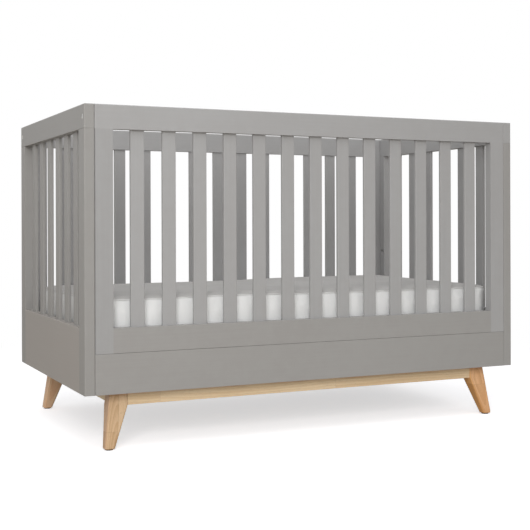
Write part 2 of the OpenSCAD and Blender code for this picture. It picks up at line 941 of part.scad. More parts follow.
left() front() hanger();  // front_left_hanger
front() hanger();  // front_right_hanger
left() hanger();  // back_left_hanger
hanger();  // back_right_hanger
hanger_screws();
mattress();
mattress_piping();
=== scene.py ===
"""Looks of the baby crib: painted panels, lacquered legs, metal and mattress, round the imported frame."""

import math

import bpy
import numpy as np
from mathutils import Matrix, Vector


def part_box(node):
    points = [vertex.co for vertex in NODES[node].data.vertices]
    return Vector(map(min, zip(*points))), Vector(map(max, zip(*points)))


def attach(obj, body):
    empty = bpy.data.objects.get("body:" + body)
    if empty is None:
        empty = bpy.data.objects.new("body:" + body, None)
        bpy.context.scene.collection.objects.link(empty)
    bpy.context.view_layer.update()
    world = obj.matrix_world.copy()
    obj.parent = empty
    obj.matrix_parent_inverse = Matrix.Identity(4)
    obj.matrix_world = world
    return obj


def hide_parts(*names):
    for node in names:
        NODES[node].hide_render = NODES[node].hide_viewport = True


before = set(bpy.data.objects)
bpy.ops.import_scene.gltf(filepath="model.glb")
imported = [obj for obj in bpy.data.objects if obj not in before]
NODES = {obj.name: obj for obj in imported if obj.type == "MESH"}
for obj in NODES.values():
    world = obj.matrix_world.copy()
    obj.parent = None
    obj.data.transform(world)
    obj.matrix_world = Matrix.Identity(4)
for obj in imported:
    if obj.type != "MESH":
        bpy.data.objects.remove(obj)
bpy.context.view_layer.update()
MM = 0.001


# ---------------------------------------------------------------- colours, as (red, green, blue)

PAINT_LOW, PAINT_HIGH = (0.368, 0.363, 0.362), (0.392, 0.391, 0.392)
PAINT_EDGE, PAINT_RUBBED = (0.430, 0.428, 0.425), (0.50, 0.49, 0.46)
GROOVE_SHADE = (0.76, 0.76, 0.76)
DUST_COLOUR = (0.60, 0.58, 0.55)

# Painted shade: the paint's colours are multiplied by these on some pieces, which darkens them
PAINTED_SHADE_LEFT_END = (0.84, 0.825, 0.795)
PAINTED_SHADE_LEFT_BOARD = (0.98, 0.92, 0.86)
PAINTED_SHADE_RIGHT_POST = (0.88, 0.865, 0.84)
PAINTED_SHADE_LONG_BOARD = (0.885, 0.868, 0.84)
PAINTED_SHADE_LEFT_STILE = (0.93, 0.93, 0.93)

LEG_LIGHT, LEG_DARK = (0.760, 0.530, 0.300), (0.560, 0.340, 0.160)
# Painted light: the stretchers' beech is paler than the legs', standing in for light from low in front
STRETCHER_PAINTED_LIGHT_PALE, STRETCHER_PAINTED_LIGHT_DEEP = (0.92, 0.75, 0.52), (0.76, 0.55, 0.33)
PAINTED_SHADE_AMBER = (0.72, 0.47, 0.34)
PINE_EARLY, PINE_LATE, PINE_KNOT = (0.72, 0.54, 0.32), (0.52, 0.31, 0.13), (0.20, 0.085, 0.030)

ZINC_BLUE, ZINC_YELLOW = (0.56, 0.57, 0.59), (0.66, 0.64, 0.58)
COAT_LOW, COAT_HIGH, COAT_CHIP = (0.235, 0.235, 0.240), (0.275, 0.275, 0.280), (0.50, 0.50, 0.50)
NYLON_LOW, NYLON_HIGH, NYLON_SCUFF = (0.030, 0.024, 0.020), (0.042, 0.034, 0.028), (0.12, 0.11, 0.10)

BORDER_LOW, BORDER_HIGH = (0.840, 0.846, 0.842), (0.875, 0.881, 0.878)
PAINTED_TOP_SHADE_LOW, PAINTED_TOP_SHADE_HIGH = (0.530, 0.517, 0.502), (0.588, 0.574, 0.560)
WEAVE_GAP = (0.60, 0.59, 0.575)
PIPING_LOW, PIPING_HIGH, STITCH_COLOUR = (0.78, 0.78, 0.77), (0.86, 0.86, 0.85), (0.88, 0.88, 0.87)

FLOOR_BOUNCE, FLOOR_SHADE, FLOOR_LIFT = (0.66, 0.62, 0.565), (0.99, 0.965, 0.965), (0.955, 0.974, 1.0)
WHITE = (1.0, 1.0, 1.0)


def tinted(colour, tint, most=0.97):
    """The colour times a tint or a number, with no part over `most`."""
    return tuple(np.minimum(most, np.multiply(colour, tint)).tolist())


# ---------------------------------------------------------------- node trees

FLOAT, VECTOR = "NodeSocketFloat", "NodeSocketVector"


def spaced(values):
    """The values under their sockets' names: an underscore stands for a space."""
    return {key.replace("_", " "): value for key, value in values.items()}


class Tree:
    """A node tree with short calls. What feeds an input is a socket to link or a value to set."""

    def __init__(self, tree):
        self.tree = tree

    def link(self, source, socket):
        self.tree.links.new(source, socket)

    def feed(self, socket, value):
        if isinstance(value, bpy.types.NodeSocket):
            self.link(value, socket)
        elif socket.type == "RGBA":
            socket.default_value = (*value, 1)
        else:
            socket.default_value = value

    def put(self, kind, feeds=None, **settings):
        """A new node with its settings made and its inputs fed."""
        node = self.tree.nodes.new(kind)
        for key, value in settings.items():
            setattr(node, key, value)
        for key, value in (feeds or {}).items():
            self.feed(node.inputs[key], value)
        return node

    def use(self, group, **values):
        """The outputs of a group node with its inputs fed."""
        return self.put("ShaderNodeGroup", spaced(values), node_tree=group).outputs

    def give(self, outputs, **values):
        """Links the values to a group's outputs."""
        for name, value in values.items():
            self.link(value, outputs[name])

    def math(self, operation, a, b=0.0):
        return self.put("ShaderNodeMath", {0: a, 1: b}, operation=operation).outputs[0]

    def plus(self, a, b):
        return self.math("ADD", a, b)

    def minus(self, a, b):
        return self.math("SUBTRACT", a, b)

    def times(self, a, b):
        return self.math("MULTIPLY", a, b)

    def divided(self, a, b):
        return self.math("DIVIDE", a, b)

    def weighted(self, *parts, base=None):
        """Sum of the base, where there is one, and of each value times its weight."""
        total = base
        for value, weight in parts:
            term = self.times(value, weight)
            total = term if total is None else self.plus(total, term)
        return total

    def vector(self, operation, a, b=(0.0, 0.0, 0.0)):
        return self.put("ShaderNodeVectorMath", {0: a, 1: b}, operation=operation).outputs[0]

    def split(self, vector):
        return self.put("ShaderNodeSeparateXYZ", {0: vector}).outputs

    def join(self, x, y, z):
        return self.put("ShaderNodeCombineXYZ", {0: x, 1: y, 2: z}).outputs[0]

    def noise(self, vector, cells, detail=2.0, rough=0.5, warp=0.0):
        """Noise with so many cells per metre, or so many along each of the vector's parts."""
        if isinstance(cells, tuple):
            vector, cells = self.vector("MULTIPLY", vector, cells), 1.0
        feeds = {"Vector": vector, "Scale": cells, "Detail": detail, "Roughness": rough}
        feeds["Distortion"] = warp
        return self.put("ShaderNodeTexNoise", feeds).outputs["Fac"]

    def ramp(self, value, start, full):
        """Smooth step: 0 where the value is at `start`, 1 where it is at `full`, on either side of it."""
        feeds = {"Value": value, "From Min": start, "From Max": full}
        return self.put("ShaderNodeMapRange", feeds, interpolation_type="SMOOTHSTEP").outputs[0]

    def mix(self, factor, a, b, blend="MIX"):
        """Colour `a` where the factor is 0, turning into `b`, or multiplied by it, where it is 1."""
        node = self.put("ShaderNodeMix", {0: factor, 6: a, 7: b}, data_type="RGBA", blend_type=blend)
        return node.outputs[2]

    def laid(self, under, top, mask, strength):
        """Colour `top` laid on `under` where the mask is 1, as thick as the strength says."""
        return self.mix(self.times(mask, strength), under, top)


def shader_group(name, inputs, outputs):
    """An empty group with named sockets; returns the group, its Tree, its inputs and its outputs."""
    group = bpy.data.node_groups.new(name, "ShaderNodeTree")
    for label, kind, value in inputs:
        socket = group.interface.new_socket(label, in_out="INPUT", socket_type=kind)
        socket.default_value = value
    for label in outputs:
        group.interface.new_socket(label, in_out="OUTPUT", socket_type=FLOAT)
    tree = Tree(group)
    return group, tree, tree.put("NodeGroupInput").outputs, tree.put("NodeGroupOutput").inputs


def grain_figure_group():
    """Figure of sawn wood. The vector's Z runs along the grain, in metres, and each seed is another board.

    Rings follow the distance from a pith behind the piece, which low noise bends along the grain: each
    rises slowly and falls quickly. Pores are short dashes along the grain, rays are small flecks across
    it, and tone is a slow cloud drawn out along it."""
    inputs = [
        ("Vector", VECTOR, (0, 0, 0)),
        ("Ring Width", FLOAT, 4 * MM),
        ("Wander", FLOAT, 4 * MM),
        ("Seed", FLOAT, 0.0),
    ]
    group, t, i, o = shader_group("grain_figure", inputs, ("Rings", "Pores", "Rays", "Tone"))
    pith_behind, bend_gain = 55 * MM, 6.0
    seed_across, seed_through, seed_rings = 0.37, 0.11, 1.7
    ring_foot, ring_crest, ring_end = 0.05, 0.92, 1.0

    shift = t.join(t.times(i["Seed"], seed_across), t.times(i["Seed"], seed_through), i["Seed"])
    point = t.vector("ADD", i["Vector"], shift)
    bend = t.times(t.minus(t.noise(point, cells=(9.0, 9.0, 2.2)), 0.5), i["Wander"])
    place = t.split(i["Vector"])
    across, through = place["X"], t.plus(place["Y"], pith_behind)
    squares = t.plus(t.math("POWER", across, 2.0), t.math("POWER", through, 2.0))
    from_pith = t.plus(t.math("SQRT", squares), t.times(bend, bend_gain))
    turns = t.divided(from_pith, i["Ring Width"])
    wave = t.math("FRACT", t.plus(turns, t.times(i["Seed"], seed_rings)))
    rise = t.ramp(wave, start=ring_foot, full=ring_crest)
    rings = t.minus(rise, t.ramp(wave, start=ring_crest, full=ring_end))
    pores = t.ramp(t.noise(point, cells=(1500.0, 1500.0, 70.0), detail=1.0), start=0.60, full=0.74)
    rays = t.ramp(t.noise(point, cells=(240.0, 1300.0, 190.0), detail=1.0), start=0.64, full=0.76)
    tone = t.noise(point, cells=(26.0, 26.0, 1.6), detail=3.0, rough=0.6)
    t.give(o, Rings=rings, Pores=pores, Rays=rays, Tone=tone)
    return group


def glued_staves_group():
    """Staves glued side by side and finger jointed end to end. The vector's Z runs along the grain.

    Seed is a number for each length of stave, and Line is 1 on a glue line or joint. Each row of staves
    starts a golden share of a length further along than the last, which keeps its joints apart."""
    inputs = [
        ("Vector", VECTOR, (0, 0, 0)),
        ("Stave Width", FLOAT, 40 * MM),
        ("Stave Length", FLOAT, 400 * MM),
        ("Offset", FLOAT, 0.5),
        ("Line Width", FLOAT, 0.6 * MM),
    ]
    group, t, i, o = shader_group("glued_staves", inputs, ("Seed", "Line"))
    first_row, golden_share = 3.0, 0.618
    row_seed, length_seed = 7.31, 3.77

    place = t.split(i["Vector"])
    across = t.plus(t.divided(place["X"], i["Stave Width"]), i["Offset"])
    row = t.math("FLOOR", across)
    jog = t.math("FRACT", t.times(t.plus(row, first_row), golden_share))
    along = t.plus(t.divided(place["Z"], i["Stave Length"]), jog)
    seed = t.weighted((row, row_seed), (t.math("FLOOR", along), length_seed))
    to_side = t.times(t.math("PINGPONG", across, 0.5), i["Stave Width"])
    to_end = t.times(t.math("PINGPONG", along, 0.5), i["Stave Length"])
    half_lines = t.divided(t.math("MINIMUM", to_side, to_end), t.times(i["Line Width"], 0.5))
    t.give(o, Seed=seed, Line=t.ramp(half_lines, start=1.5, full=0.5))
    return group


def worn_edge_group():
    """Edge is 1 on the rounded edges of square-cut pieces and 0 on their flat faces, and Wear is the same
    broken up by noise.

    The normal of a flat face, in the object's own directions, has one part of 1. On a rounded edge its
    largest part is lower."""
    inputs = [("Breakup", FLOAT, 60.0), ("Cover", FLOAT, 0.5)]
    group, t, i, o = shader_group("worn_edge", inputs, ("Edge", "Wear"))
    spot = t.put("ShaderNodeTexCoord").outputs
    facing = t.split(t.vector("ABSOLUTE", spot["Normal"]))
    largest = t.math("MAXIMUM", facing["X"], t.math("MAXIMUM", facing["Y"], facing["Z"]))
    edge = t.ramp(largest, start=0.985, full=0.86)
    spots = t.noise(spot["Object"], cells=i["Breakup"], detail=4.0, rough=0.65)
    broken = t.ramp(t.plus(spots, t.minus(i["Cover"], 0.5)), start=0.45, full=0.62)
    t.give(o, Edge=edge, Wear=t.times(edge, broken))
    return group


def settled_dust_group():
    """Fine dust that lies on faces that look up, thicker where low noise lets it."""
    group, t, i, o = shader_group("settled_dust", [("Amount", FLOAT, 0.3)], ("Dust",))
    spot = t.put("ShaderNodeTexCoord").outputs
    upwards = t.ramp(t.split(spot["Normal"])["Z"], start=0.55, full=1.0)
    drift = t.ramp(t.noise(spot["Object"], cells=7.0, detail=4.0, rough=0.6), start=0.3, full=0.7)
    grit = t.ramp(t.noise(spot["Object"], cells=900.0, detail=1.0), start=0.35, full=0.75)
    t.give(o, Dust=t.times(t.times(t.times(upwards, drift), grit), i["Amount"]))
    return group


def plain_weave_group():
    """Height of a plain weave on any face: sine times sine along the two directions of the face.

    The three pairs of directions are weighed by the normal's parts to the fourth power. Thread is the
    weave alone, from 0 to 1, and Height has slubs on it too."""
    inputs = [("Threads per Metre", FLOAT, 1100.0), ("Slub", FLOAT, 0.3)]
    group, t, i, o = shader_group("plain_weave", inputs, ("Height", "Thread"))
    thread_pull, sharpness = 9.0, 4.0
    spot = t.put("ShaderNodeTexCoord").outputs
    pull = t.times(t.noise(spot["Object"], cells=34.0), thread_pull)
    turn = t.times(i["Threads per Metre"], math.pi)
    waves = [t.math("SINE", t.plus(t.times(part, turn), pull)) for part in t.split(spot["Object"])]
    facing = t.split(t.vector("ABSOLUTE", spot["Normal"]))
    weights = [t.math("POWER", part, sharpness) for part in facing]
    weave = t.weighted(
        (t.times(waves[1], waves[2]), weights[0]),
        (t.times(waves[2], waves[0]), weights[1]),
        (t.times(waves[0], waves[1]), weights[2]))
    weave = t.divided(weave, t.plus(weights[0], t.plus(weights[1], weights[2])))
    slubs = t.ramp(t.noise(spot["Object"], cells=(60.0, 900.0, 900.0), detail=1.0), start=0.6, full=0.8)
    height = t.plus(weave, t.times(slubs, i["Slub"]))
    t.give(o, Height=height, Thread=t.ramp(weave, start=-1.0, full=1.0))
    return group


GRAIN_FIGURE = grain_figure_group()
GLUED_STAVES = glued_staves_group()
WORN_EDGE = worn_edge_group()
SETTLED_DUST = settled_dust_group()
PLAIN_WEAVE = plain_weave_group()


# ---------------------------------------------------------------- finishes


def finish_of(name, **constants):
    """A new material with its Tree, its shader and its texture coordinates. The constants are set on the
    shader's own sockets."""
    material = bpy.data.materials.new(name)
    material.use_nodes = True
    tree = Tree(material.node_tree)
    shader = material.node_tree.nodes["Principled BSDF"]
    for key, value in spaced(constants).items():
        shader.inputs[key].default_value = value
    return material, tree, shader, tree.put("ShaderNodeTexCoord").outputs


def lay_on(tree, shader, colour, roughness, *bumps):
    """Feeds the shader its colour, its roughness and its bumps, laid on each other as (height, depth)."""
    tree.feed(shader.inputs["Base Color"], colour)
    tree.feed(shader.inputs["Roughness"], roughness)
    normal = None
    for height, depth in bumps:
        feeds = {"Height": height, "Strength": 1.0, "Distance": depth}
        if normal:
            feeds["Normal"] = normal
        normal = tree.put("ShaderNodeBump", feeds).outputs[0]
    tree.link(normal, shader.inputs["Normal"])


def along_grain(tree, point, axis):
    """The point with its coordinates turned round so that Z runs along the axis."""
    x, y, z = tree.split(point)
    order = {"x": (y, z, x), "y": (z, x, y), "z": (x, y, z)}[axis]
    return tree.join(*order)


def satin_grey_paint(name, axis, tint=(1, 1, 1), joint=None):
    """Satin grey paint sprayed on wood: fine orange peel, a trace of the grain, rubbed edges and dust. A
    tint below 1 darkens all its colours, as painted shade.

    Where `joint` gives an X, painted shade darkens the paint in the groove of the joint there."""
    material, t, shader, spot = finish_of(name, Specular_IOR_Level=0.42)
    grain = along_grain(t, spot["Object"], axis)
    pores = t.use(GRAIN_FIGURE, Vector=grain, Ring_Width=6 * MM, Wander=3 * MM)["Pores"]
    cloud = t.noise(spot["Object"], cells=1.7, detail=3.0)
    mottle = t.noise(spot["Object"], cells=38.0, detail=3.0)
    streak = t.noise(grain, cells=(260.0, 260.0, 5.0))
    peel = t.noise(spot["Object"], cells=620.0)
    shade = t.weighted((cloud, 0.55), (mottle, 0.25), (streak, 0.20))
    shade = t.ramp(shade, start=0.35, full=0.65)
    colour = t.mix(shade, tinted(PAINT_LOW, tint), tinted(PAINT_HIGH, tint))
    worn = t.use(WORN_EDGE, Breakup=70.0, Cover=0.45)
    colour = t.laid(colour, tinted(PAINT_EDGE, tint), mask=worn["Edge"], strength=0.10)
    colour = t.laid(colour, tinted(PAINT_RUBBED, tint), mask=worn["Wear"], strength=0.14)
    dust = t.use(SETTLED_DUST, Amount=0.10)["Dust"]
    colour = t.mix(dust, colour, DUST_COLOUR)
    # Painted shade in the groove of the joint
    if joint is not None:
        beside = t.minus(t.split(spot["Object"])["X"], joint)
        groove = t.ramp(beside, start=3 * MM, full=2 * MM)
        colour = t.mix(groove, colour, GROOVE_SHADE, blend="MULTIPLY")
    roughness = t.weighted((mottle, 0.10), (dust, 0.5), base=0.44)
    lay_on(t, shader, colour, roughness, (streak, 0.08 * MM), (pores, 0.02 * MM), (peel, 0.03 * MM))
    return material


def lacquered_beech(
        name, axis, light, dark, stave_width=1.0, stave_length=0.4, offset=0.5, painted_side_shade=None, under=None):
    """Clear lacquered wood in glued staves, each with its own tone and figure. A stave a metre wide gives
    a piece that isn't glued up in its width. The axis "leg" takes the grain from the leg's attribute.

    Painted shade darkens the faces that look along minus X by a colour. Where `under` gives a height,
    painted shade makes the lacquer amber just below it, and that fades out over about 10 mm along a wavy
    line."""
    material, t, shader, spot = finish_of(name, Specular_IOR_Level=0.40)
    if axis == "leg":
        grain = t.put("ShaderNodeAttribute", attribute_name="grain").outputs["Vector"]
    else:
        grain = along_grain(t, spot["Object"], axis)
    staves = t.use(
        GLUED_STAVES, Vector=grain, Stave_Width=stave_width, Stave_Length=stave_length, Offset=offset)
    figure = t.use(GRAIN_FIGURE, Vector=grain, Ring_Width=4.2 * MM, Wander=3.5 * MM, Seed=staves["Seed"])
    own = t.put("ShaderNodeTexWhiteNoise", {"W": staves["Seed"]}, noise_dimensions="1D").outputs["Value"]
    tone = t.weighted((figure["Tone"], 0.75), (figure["Rings"], 0.20), (t.minus(own, 0.5), 0.42))
    colour = t.mix(t.ramp(tone, start=0.20, full=0.80), light, dark)
    deep, pale = tinted(dark, 0.55), tinted(light, 1.15, most=1.0)
    colour = t.laid(colour, deep, mask=figure["Pores"], strength=0.45)
    colour = t.laid(colour, pale, mask=figure["Rays"], strength=0.30)
    colour = t.laid(colour, deep, mask=staves["Line"], strength=0.55)
    # Painted shade on the faces that look along minus X
    if painted_side_shade:
        facing = t.ramp(t.split(spot["Normal"])["X"], start=-0.35, full=-0.85)
        colour = t.mix(facing, colour, painted_side_shade, blend="MULTIPLY")
    # Painted shade just below the board's underside: amber and darker
    if under is not None:
        wave_height = 10 * MM
        wave = t.times(t.noise(grain, cells=(20.0, 20.0, 9.0)), wave_height)
        below = t.minus(under, t.split(spot["Object"])["Z"])
        below = t.plus(below, t.minus(wave_height / 2, wave))
        colour = t.mix(t.ramp(below, start=12.5 * MM, full=2 * MM), colour, PAINTED_SHADE_AMBER, blend="MULTIPLY")
    roughness = t.weighted((figure["Tone"], 0.14), base=0.40)
    sunk_pores = t.times(figure["Pores"], -1.0)
    lay_on(t, shader, colour, roughness, (sunk_pores, 0.04 * MM), (figure["Rings"], 0.02 * MM))
    return material


def planed_pine(name, axis):
    """Bare pine: wide pale rings with sharp brown latewood, and a few knots."""
    material, t, shader, spot = finish_of(name)
    grain = along_grain(t, spot["Object"], axis)
    knots_per_metre = (9.0, 9.0, 2.6)
    feeds = {"Vector": t.vector("MULTIPLY", grain, knots_per_metre), "Scale": 1.0}
    knots = t.put("ShaderNodeTexVoronoi", feeds, feature="F1")
    core = t.ramp(knots.outputs["Distance"], start=0.16, full=0.05)
    figure = t.use(GRAIN_FIGURE, Vector=grain, Ring_Width=8.5 * MM, Wander=6 * MM)
    late = t.math("POWER", figure["Rings"], 3.0)
    tone = t.weighted((late, 0.6), (figure["Tone"], 0.5))
    colour = t.mix(t.ramp(tone, start=0.1, full=1.0), PINE_EARLY, PINE_LATE)
    colour = t.mix(core, colour, PINE_KNOT)
    fibre = t.noise(grain, cells=(1400.0, 1400.0, 25.0))
    roughness = t.weighted((figure["Tone"], 0.2), base=0.58)
    lay_on(t, shader, colour, roughness, (late, 0.06 * MM), (fibre, 0.05 * MM))
    return material


def zinc_plate(name):
    """Bright zinc plate with fine rub marks and a faint yellow passivation."""
    material, t, shader, spot = finish_of(name, Metallic=1.0)
    cloud = t.noise(spot["Object"], cells=160.0, detail=3.0)
    colour = t.mix(t.ramp(cloud, start=0.35, full=0.65), ZINC_BLUE, ZINC_YELLOW)
    rub = t.noise(spot["Object"], cells=(300.0, 4000.0, 4000.0))
    lay_on(t, shader, colour, t.weighted((rub, 0.22), base=0.24), (rub, 0.01 * MM))
    return material


def powder_coat(name):
    """Grey powder coat: pebbled, with bright steel where it has chipped."""
    material, t, shader, spot = finish_of(name)
    pebble = t.noise(spot["Object"], cells=900.0, detail=1.0)
    chip = t.ramp(t.noise(spot["Object"], cells=110.0, detail=4.0, rough=0.7), start=0.70, full=0.74)
    colour = t.mix(t.ramp(pebble, start=0.3, full=0.7), COAT_LOW, COAT_HIGH)
    colour = t.mix(chip, colour, COAT_CHIP)
    roughness = t.weighted((pebble, 0.14), base=0.42)
    t.link(chip, shader.inputs["Metallic"])
    lay_on(t, shader, colour, roughness, (pebble, 0.04 * MM), (chip, -0.03 * MM))
    return material


def moulded_nylon(name):
    """Dark nylon with a fine moulded grain, scuffed paler where it meets the floor."""
    material, t, shader, spot = finish_of(name)
    grit = t.noise(spot["Object"], cells=1800.0)
    low_down = t.ramp(t.split(spot["Object"])["Z"], start=1.6 * MM, full=0.0)
    scuff = t.ramp(t.noise(spot["Object"], cells=300.0, detail=3.0), start=0.4, full=0.7)
    colour = t.mix(t.ramp(grit, start=0.3, full=0.7), NYLON_LOW, NYLON_HIGH)
    colour = t.mix(t.times(low_down, scuff), colour, NYLON_SCUFF)
    lay_on(t, shader, colour, t.weighted((grit, 0.2), base=0.42), (grit, 0.03 * MM))
    return material


def mattress_ticking(name):
    """Woven white cover, its top made light grey as painted shade: plain weave, slubs and soft creases."""
    material, t, shader, spot = finish_of(name, Sheen_Weight=0.12, Sheen_Roughness=0.5)
    weave = t.use(PLAIN_WEAVE, Threads_per_Metre=1150.0, Slub=0.25)
    cloud = t.ramp(t.noise(spot["Object"], cells=6.0, detail=3.0), start=0.3, full=0.7)
    border = t.mix(cloud, BORDER_LOW, BORDER_HIGH)
    # Painted shade: the faces that look up get these greyer colours
    panel = t.mix(cloud, PAINTED_TOP_SHADE_LOW, PAINTED_TOP_SHADE_HIGH)
    upwards = t.ramp(t.split(spot["Normal"])["Z"], start=0.30, full=0.85)
    colour = t.mix(upwards, border, panel)
    colour = t.laid(colour, WEAVE_GAP, mask=t.minus(1.0, weave["Thread"]), strength=0.10)
    crease = t.noise(spot["Object"], cells=(14.0, 14.0, 30.0), detail=3.0, warp=0.6)
    roughness = 0.85
    lay_on(t, shader, colour, roughness, (crease, 1.6 * MM), (weave["Height"], 0.06 * MM))
    return material


def piping_cloth(name):
    """The cover's cloth wrapped on a cord: a slanted twill, and a row of stitches beside the seam.

    The cord's own attribute gives the way along it in metres, and the turn round it from 0 to 1."""
    material, t, shader, spot = finish_of(name, Sheen_Weight=0.10)
    twill_along, twill_around = 5200.0, 18.0
    stitch_pitch, stitch_turn = 3.5 * MM, 0.30
    route = t.split(t.put("ShaderNodeAttribute", attribute_name="route").outputs["Vector"])
    twill = t.math("SINE", t.weighted((route["X"], twill_along), (route["Y"], twill_around)))
    stitch = t.math("ABSOLUTE", t.math("SINE", t.times(route["X"], math.pi / stitch_pitch)))
    to_row = t.math("ABSOLUTE", t.minus(route["Y"], stitch_turn))
    stitches = t.times(t.ramp(to_row, start=0.05, full=0.02), t.ramp(stitch, start=0.25, full=0.45))
    colour = t.mix(t.ramp(twill, start=-1.0, full=1.0), PIPING_LOW, PIPING_HIGH)
    colour = t.laid(colour, STITCH_COLOUR, mask=stitches, strength=0.5)
    roughness = 0.80
    lay_on(t, shader, colour, roughness, (twill, 0.05 * MM), (stitches, 0.2 * MM))
    return material


BOARD_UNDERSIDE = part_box("front_lower_board")[0].z
STILE_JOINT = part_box("front_left_stile")[0].x

PAINT = {axis: satin_grey_paint("satin_grey_paint_" + axis, axis) for axis in "xyz"}
# These paints carry painted shade: their colours are darkened on single pieces
SHADED_PAINT_LEFT_END = {
    axis: satin_grey_paint("satin_grey_paint_painted_shade_end_" + axis, axis, PAINTED_SHADE_LEFT_END) for axis in "yz"}
SHADED_PAINT_LEFT_BOARD = satin_grey_paint("satin_grey_paint_painted_shade_end_board", "y", PAINTED_SHADE_LEFT_BOARD)
SHADED_PAINT_RIGHT_POST = satin_grey_paint("satin_grey_paint_painted_shade_right_post", "z", PAINTED_SHADE_RIGHT_POST)
SHADED_PAINT_LONG_BOARD = satin_grey_paint("satin_grey_paint_painted_shade_board", "x", PAINTED_SHADE_LONG_BOARD)
SHADED_PAINT_LEFT_STILE = satin_grey_paint("satin_grey_paint_painted_shade_stile", "z", PAINTED_SHADE_LEFT_STILE, joint=STILE_JOINT)
# The stretchers get painted shade just below the front board
BEECH = {
    axis: lacquered_beech(
        "lacquered_beech_" + axis, axis, STRETCHER_PAINTED_LIGHT_PALE, STRETCHER_PAINTED_LIGHT_DEEP,
        stave_length=0.55, under=BOARD_UNDERSIDE)
    for axis in "xy"}
PINE = {axis: planed_pine("planed_pine_" + axis, axis) for axis in "xy"}
ZINC = zinc_plate("zinc_plate")
POWDER = powder_coat("powder_coat")
NYLON = moulded_nylon("moulded_nylon")


def dress(names, material):
    """Puts one material on the named CAD nodes, in place of their own."""
    for name in names.split():
        slots = NODES[name].data.materials
        slots.clear()
        slots.append(material)


def dress_panels():
    """Paint on the four panels, with the grain below it along each piece's own length. Painted shade
    darkens the paint on the left end, the long bottom rails and boards, the right end's front post and the
    front left stile.
    """
    dress("front_top_rail back_top_rail", PAINT["x"])
    dress("right_end_top_rail right_end_bottom_rail", PAINT["y"])
    dress("right_end_back_post right_end_slats", PAINT["z"])
    dress("front_slats front_right_stile", PAINT["z"])
    dress("back_slats back_left_stile back_right_stile", PAINT["z"])
    dress("left_end_top_rail", SHADED_PAINT_LEFT_END["y"])
    dress("left_end_front_post left_end_back_post left_end_slats", SHADED_PAINT_LEFT_END["z"])
    dress("left_end_bottom_rail", SHADED_PAINT_LEFT_BOARD)
    dress("right_end_front_post", SHADED_PAINT_RIGHT_POST)
    dress("front_bottom_rail front_lower_board back_bottom_rail", SHADED_PAINT_LONG_BOARD)
    dress("front_left_stile", SHADED_PAINT_LEFT_STILE)


def dress_base_and_fittings():
    """Wood on the stretchers, dowels and mattress base, paint on the bearers, and metal and nylon."""
    dress("front_stretcher back_stretcher panel_dowels", BEECH["x"])
    dress("left_stretcher right_stretcher bearer_dowels", BEECH["y"])
    dress("left_bearer right_bearer", PAINT["y"])
    dress("platform_front_rail platform_back_rail", PINE["x"])
    dress("platform_left_rail platform_right_rail platform_slats", PINE["y"])
    dress("panel_bolts barrel_nuts support_bolts height_inserts base_bolts base_inserts", ZINC)
    dress("corner_screws platform_screws hanger_screws", ZINC)
    dress("front_left_hanger front_right_hanger back_left_hanger back_right_hanger", POWDER)
    dress("corner_brackets", POWDER)
    dress("foot_glides", NYLON)


dress_panels()
dress_base_and_fittings()


# ---------------------------------------------------------------- surfaces


def mesh_piece(name, points, faces, material, smooth=True):
    """A mesh object at the origin from arrays of points and faces."""
    mesh = bpy.data.meshes.new(name)
    mesh.from_pydata(points.tolist(), [], faces)
    mesh.update()
    if smooth:
        mesh.shade_smooth()
    else:
        mesh.shade_flat()
    mesh.materials.append(material)
    piece = bpy.data.objects.new(name, mesh)
    bpy.context.scene.collection.objects.link(piece)
    return piece


def points_of(mesh):
    """A mesh's points as rows of (x, y, z)."""
    flat = np.zeros(len(mesh.vertices) * 3)
    mesh.vertices.foreach_get("co", flat)
    return flat.reshape(-1, 3)


def move_points(mesh, points):
    """Moves a mesh's points to the rows of (x, y, z)."""
    mesh.vertices.foreach_set("co", points.reshape(-1))
    mesh.update()


def keep_vectors(piece, name, vectors):
    """Keeps a vector for each point as an attribute, for the piece's material to follow."""
    attribute = piece.data.attributes.new(name, "FLOAT_VECTOR", "POINT")
    attribute.data.foreach_set("vector", vectors.reshape(-1))


def tube_faces(rows, around, closed_rows=False):
    """Quads of a grid of rows that closes round its second direction, and round its first if asked."""
    r = np.arange(rows if closed_rows else rows - 1)[:, None]
    a = np.arange(around)[None, :]
    next_r, next_a = (r + 1) % rows, (a + 1) % around
    corners = [r * around + a, r * around + next_a, next_r * around + next_a, next_r * around + a]
    return np.stack(corners, -1).reshape(-1, 4).tolist()


# ---------------------------------------------------------------- legs

LEG_CORNER, FOOT_CORNER = 5 * MM, 9 * MM
TOP_CHAMFER, FOOT_ROUND = 0.8 * MM, 3 * MM
RINGS_PER_STRETCH, RINGS_UNDER_FOOT = 6, 6
INWARDS = np.array([1, 1, -1, -1])

# Each leg has its own staves and lean of its grain, its tint, and painted shade on the side that looks
# along minus X. The tint is partly each leg's own tone and partly painted light; on the back left leg it
# is painted light.
LEG_LOOKS = {
    "front_left": dict(
        stave_width=0.050, stave_length=0.72, offset=1.00, tint=(0.93, 0.95, 1.04),
        painted_side_shade=(1.0, 0.95, 1.0), lean=0.35),
    "front_right": dict(
        stave_width=0.100, stave_length=0.40, offset=0.50, tint=(1.20, 1.06, 1.02),
        painted_side_shade=(1.0, 0.92, 0.71), lean=1.0),
    # Painted light: this leg's strong tint lightens the wood where the lamps leave it in shade
    "back_left": dict(
        stave_width=0.100, stave_length=0.30, offset=0.50, tint=(1.44, 1.48, 1.90),
        painted_side_shade=None, lean=1.0),
    "back_right": dict(
        stave_width=0.034, stave_length=0.26, offset=0.30, tint=(1.05, 1.02, 0.92),
        painted_side_shade=None, lean=1.0),
}


def level_of(node, z, within=0.4 * MM):
    """The rectangle (low x, low y, high x, high y) of a CAD node's points at height z."""
    points = points_of(NODES[node].data)
    level = points[np.abs(points[:, 2] - z) < within, :2]
    return np.concatenate([level.min(0), level.max(0)])


